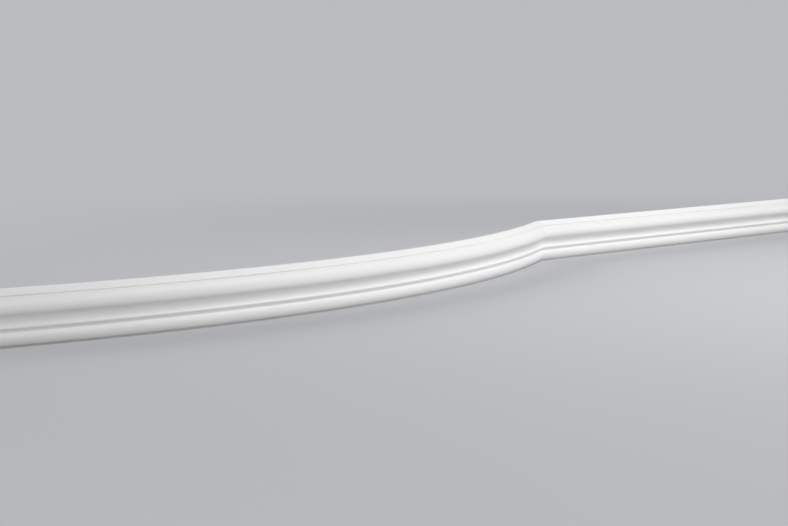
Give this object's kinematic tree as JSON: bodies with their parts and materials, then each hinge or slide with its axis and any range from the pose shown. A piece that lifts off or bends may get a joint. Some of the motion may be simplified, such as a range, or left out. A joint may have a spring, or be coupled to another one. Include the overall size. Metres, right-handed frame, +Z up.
{
  "type": "flexible moulding",
  "caption": "White flexible moulding with an ogee nose over a torus, bent round a wide convex curve and through a tight inside corner onto a straight run.",
  "frame": {"origin": "on the floor plane at the lower edge, in the middle of the footprint", "axes": "+X along the straight run towards its free end, +Y towards the back, +Z up"},
  "size_m": [1.9674, 0.2079, 0.06],
  "materials": {
    "white_polyurethane": "smooth satin white, ready to paint"
  },
  "bodies": {
    "root": {"moulding": "white_polyurethane"}
  },
  "joints": []
}
